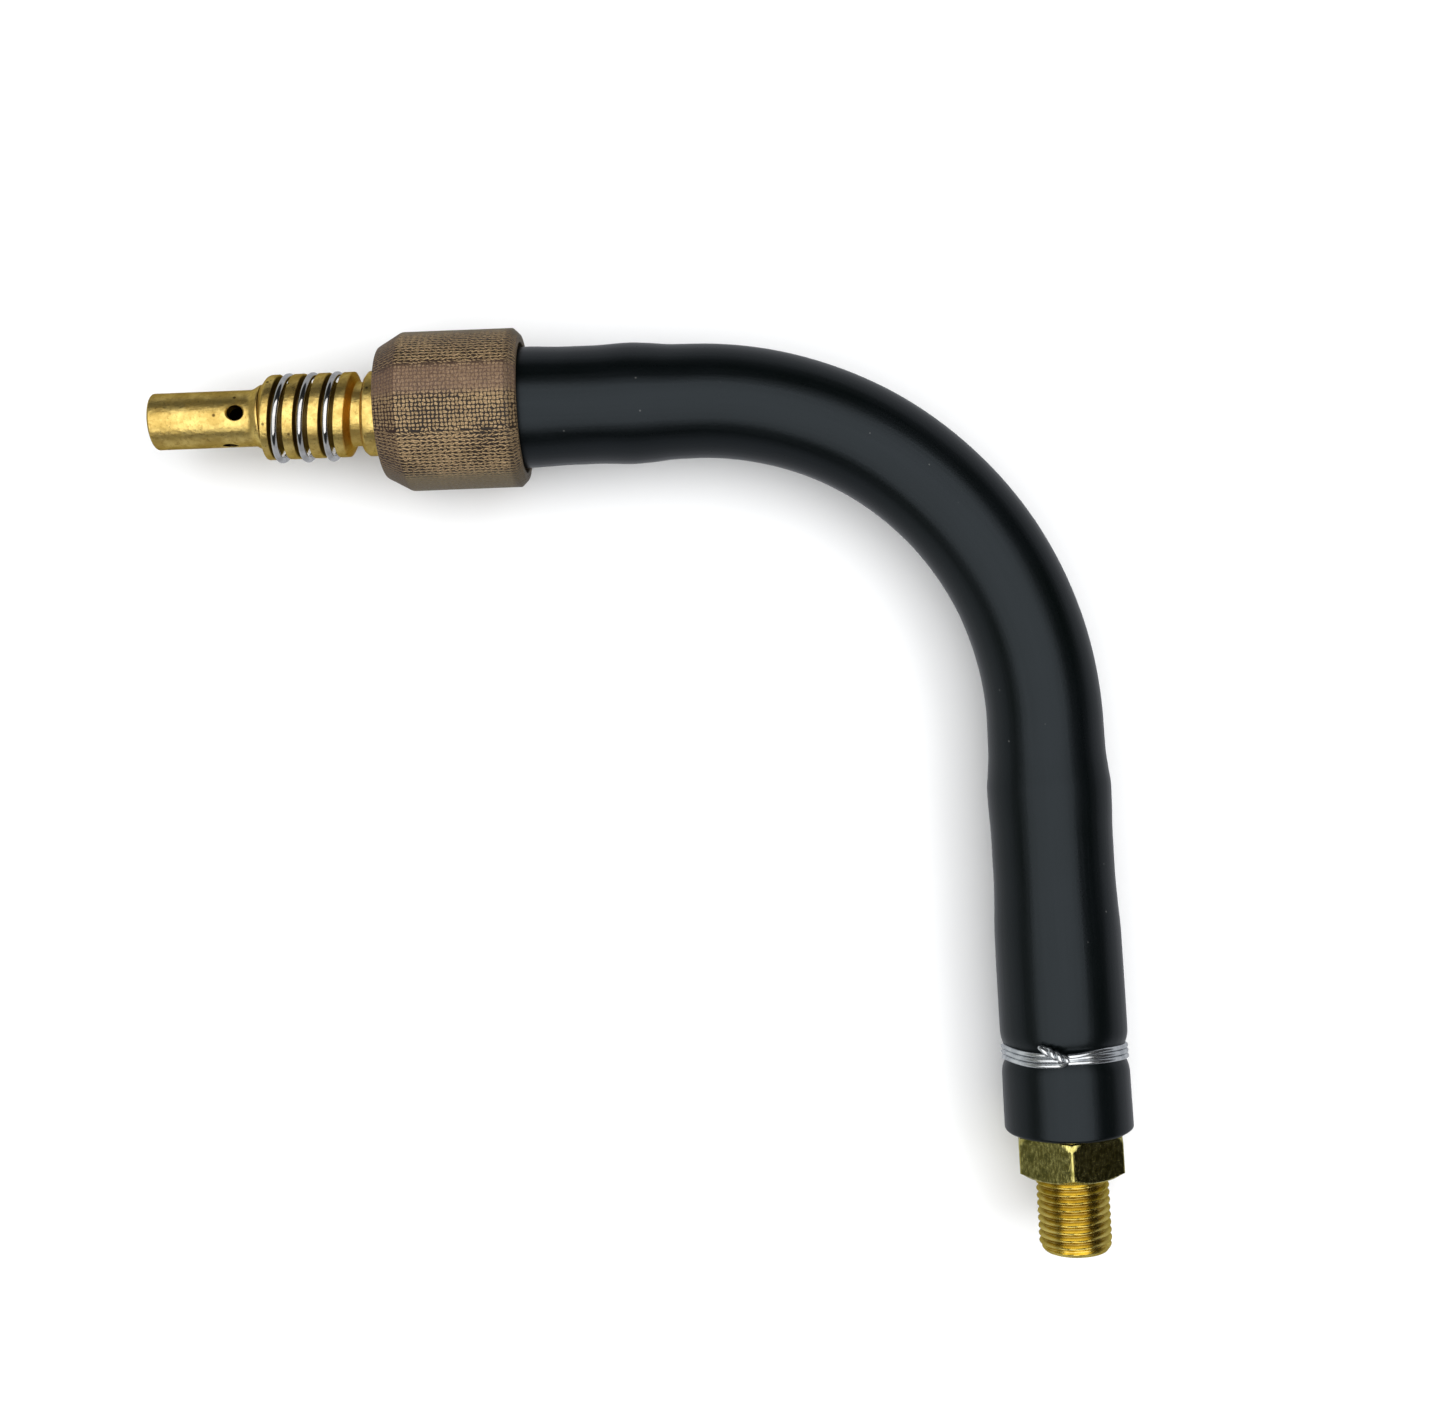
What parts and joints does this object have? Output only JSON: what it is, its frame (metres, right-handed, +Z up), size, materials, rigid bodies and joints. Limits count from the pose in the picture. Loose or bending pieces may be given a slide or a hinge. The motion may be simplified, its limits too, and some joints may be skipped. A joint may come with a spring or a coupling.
{
  "type": "mig welding torch neck",
  "caption": "Bent MIG welding torch neck: brass tip holder, nozzle head with spring rings, phenolic insulator cap, rubber-jacketed conductor tube, tie wire and threaded brass connector.",
  "frame": {"origin": "below the middle of the part's box, on the surface the neck lies on", "axes": "-X along the front leg towards the contact tip, -Y close to the rear leg towards the connector, +Z up from the surface"},
  "size_m": [0.17, 0.1682, 0.028],
  "materials": {
    "brass": "machined, slightly tarnished",
    "polished_brass": "bright turned and milled",
    "hidden_brass": "turned",
    "braze": "as brazed",
    "copper": "drawn copper",
    "phenolic": "canvas laminate, machined",
    "spring_steel": "bright drawn wire",
    "liner_steel": "wound wire",
    "galvanised_wire": "galvanised",
    "jacket_rubber": "satin extruded rubber",
    "seal_rubber": "moulded",
    "glass_fibre": "braided sleeve"
  },
  "bodies": {
    "neck": {"head_body": "brass", "cap_o_ring": "seal_rubber", "front_braze_ring": "braze", "front_ferrule": "hidden_brass", "conductor_tube": "copper", "insulating_sleeve": "glass_fibre", "wire_liner": "liner_steel", "liner_nipple": "hidden_brass", "rear_ferrule": "hidden_brass", "rear_braze_ring": "braze", "rear_connector": "polished_brass", "rubber_jacket": "jacket_rubber", "binding_wire": "galvanised_wire"},
    "washer": {"tip_washer": "copper"},
    "tip": {"tip_holder": "brass"},
    "cap": {"insulator_cap": "phenolic"},
    "ring_1": {"spring_ring_1": "spring_steel"},
    "ring_2": {"spring_ring_2": "spring_steel"},
    "ring_3": {"spring_ring_3": "spring_steel"}
  },
  "joints": [
    {"name": "tip_travel", "type": "slide", "parent": "neck", "child": "washer", "axis": [-1, 0, 0], "range_m": [0, 0.0061]},
    {"name": "tip_turn", "type": "hinge", "parent": "washer", "child": "tip", "pos_m": [-0.06913, 0.0701, 0.014], "axis": [-1, 0, 0], "range_deg": [0, 2160]},
    {"name": "cap_slide", "type": "slide", "parent": "neck", "child": "cap", "axis": [-1, 0, 0], "range_m": [0, 0.068]},
    {"name": "ring_1_spin", "type": "hinge", "parent": "neck", "child": "ring_1", "pos_m": [-0.06153, 0.06985, 0.014], "axis": [-0.9854, 0.1702, 0], "continuous": true},
    {"name": "ring_2_spin", "type": "hinge", "parent": "neck", "child": "ring_2", "pos_m": [-0.05708, 0.06985, 0.014], "axis": [-0.9893, 0.1461, 0], "continuous": true},
    {"name": "ring_3_spin", "type": "hinge", "parent": "neck", "child": "ring_3", "pos_m": [-0.05263, 0.06985, 0.014], "axis": [-0.9912, 0.1323, 0], "continuous": true}
  ],
  "couplings": [
    {"joint": "tip_travel", "follows": "tip_turn", "m_per_rad": 0.00015915}
  ]
}
